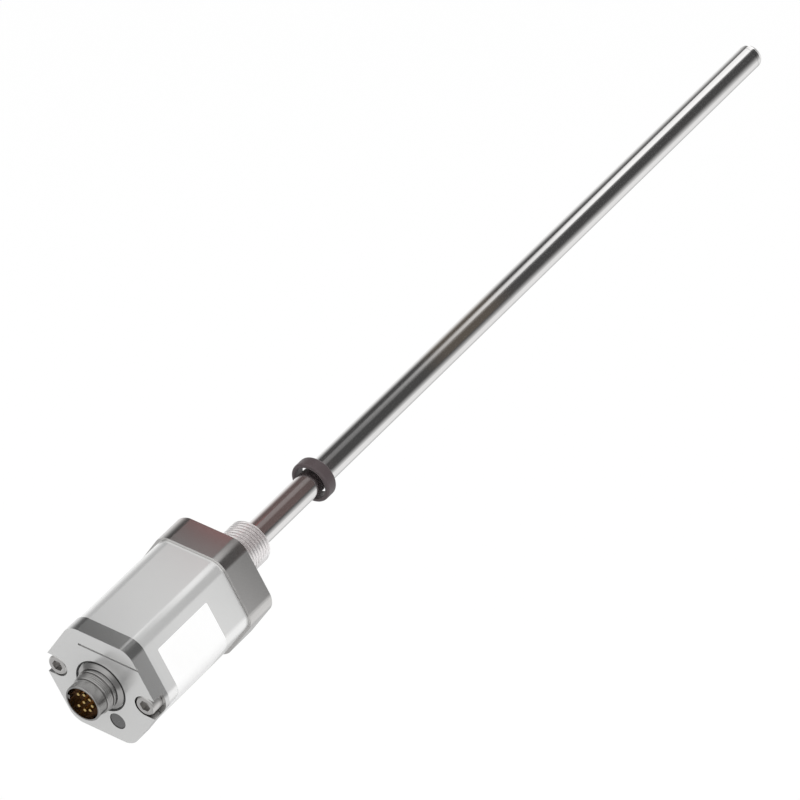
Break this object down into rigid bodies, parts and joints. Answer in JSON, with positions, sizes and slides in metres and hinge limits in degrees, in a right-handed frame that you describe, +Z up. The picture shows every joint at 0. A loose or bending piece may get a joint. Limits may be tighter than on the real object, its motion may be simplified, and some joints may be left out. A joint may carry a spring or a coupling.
{
  "type": "magnetostrictive position sensor",
  "caption": "Rod-style linear position sensor: hexagonal housing with plug connection, threaded flange, long closed rod and a ring magnet that slides along it.",
  "frame": {"origin": "on the rod's axis in the plane of the flange's sealing face", "axes": "+X along the rod to its tip, +Z up through a flat of the hexagon, the cover screws at +Y and -Y"},
  "size_m": [0.4502, 0.0506, 0.046],
  "materials": {
    "stainless_steel": "fine turned and ground stainless steel",
    "polished_steel": "ground and polished stainless steel",
    "housing_aluminium": "satin anodised aluminium",
    "cover_aluminium": "finely machined aluminium, clear anodised",
    "nickel_brass": "nickel plated brass, satin",
    "contact_gold": "gold plated contacts",
    "insert_plastic": "matt black moulded plastic",
    "magnet_ferrite": "plastic bonded ferrite, satin black",
    "seal_rubber": "matt black rubber",
    "window_plastic": "smoked clear plastic",
    "board_laminate": "green board laminate",
    "natural_plastic": "natural white moulded plastic",
    "copper": "enamelled copper",
    "green_light": "clear green light package",
    "red_light": "clear red light package",
    "damping_rubber": "soft brown rubber"
  },
  "bodies": {
    "sensor": {"flange": "stainless_steel", "cover_screw_left": "stainless_steel", "cover_screw_right": "stainless_steel", "pressure_tube": "polished_steel", "tube_end_plug": "polished_steel", "housing": "housing_aluminium", "capacitor": "housing_aluminium", "end_cover": "cover_aluminium", "connector_shell": "nickel_brass", "connector_locknut": "nickel_brass", "crystal_can": "nickel_brass", "waveguide_clamp": "nickel_brass", "waveguide": "nickel_brass", "contact_pin_1": "contact_gold", "contact_pin_2": "contact_gold", "contact_pin_3": "contact_gold", "contact_pin_4": "contact_gold", "contact_pin_5": "contact_gold", "contact_pin_6": "contact_gold", "contact_pin_7": "contact_gold", "contact_pin_8": "contact_gold", "connector_insert": "insert_plastic", "board_link": "insert_plastic", "microcontroller": "insert_plastic", "regulator": "insert_plastic", "flange_o_ring": "seal_rubber", "cover_o_ring": "seal_rubber", "port_o_ring": "seal_rubber", "connector_o_ring": "seal_rubber", "status_window": "window_plastic", "connector_board": "board_laminate", "main_board": "board_laminate", "board_carrier": "natural_plastic", "pickup_holder": "natural_plastic", "coil_bobbin": "natural_plastic", "waveguide_sleeve": "natural_plastic", "spacer_bush_1": "natural_plastic", "spacer_bush_2": "natural_plastic", "spacer_bush_3": "natural_plastic", "coil_winding": "copper", "return_wire": "copper", "led_green": "green_light", "led_red": "red_light", "damping_plug": "damping_rubber"},
    "magnet": {"position_magnet": "magnet_ferrite"}
  },
  "joints": [
    {"name": "magnet_travel", "type": "slide", "parent": "sensor", "child": "magnet", "axis": [1, 0, 0], "range_m": [-0.0327, 0.2473]}
  ]
}
